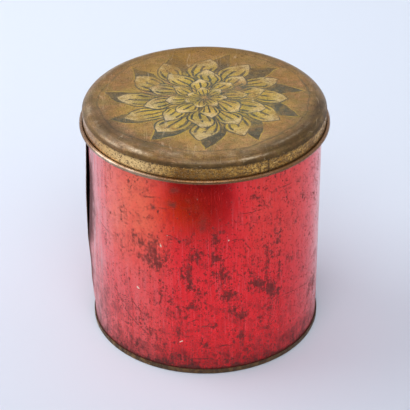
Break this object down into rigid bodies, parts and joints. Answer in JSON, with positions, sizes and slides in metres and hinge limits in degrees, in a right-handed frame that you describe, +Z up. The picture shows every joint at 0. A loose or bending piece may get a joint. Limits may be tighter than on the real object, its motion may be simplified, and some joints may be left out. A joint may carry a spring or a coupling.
{
  "type": "tea tin",
  "caption": "Round tinplate tea canister with a straight lapped wall, a recessed base in a folded rim, and a lift-off lid with a rounded shoulder and a rolled edge.",
  "frame": {"origin": "on the ground, under the middle of the base", "axes": "+Z up along the tin's axis, -Y the front as pictured, and the side seam on -X"},
  "size_m": [0.1344, 0.1344, 0.1359],
  "materials": {
    "red_lacquer": "worn glossy red lacquer on tinplate",
    "copper_print": "worn copper-brown lacquer with a rubbed print",
    "gold_lacquer": "speckled gold lacquer on tinplate",
    "worn_tin": "dull brown lacquer, rubbed to the metal",
    "solder": "dull grey solder",
    "steel_wire": "dull drawn wire"
  },
  "bodies": {
    "tin": {"body_wall": "red_lacquer", "side_seam_solder": "solder", "base_end": "worn_tin", "base_solder": "solder"},
    "lid_wire": {"lid_rim_wire": "steel_wire"},
    "lid": {"lid_top": "copper_print", "lid_skirt": "gold_lacquer", "lid_solder": "solder"}
  },
  "joints": [
    {"name": "lid_lift", "type": "slide", "parent": "tin", "child": "lid_wire", "axis": [0, 0, 1], "range_m": [0, 0.08]},
    {"name": "lid_turn", "type": "hinge", "parent": "lid_wire", "child": "lid", "pos_m": [0, 0, 0.1222], "axis": [0, 0, 1], "continuous": true}
  ]
}
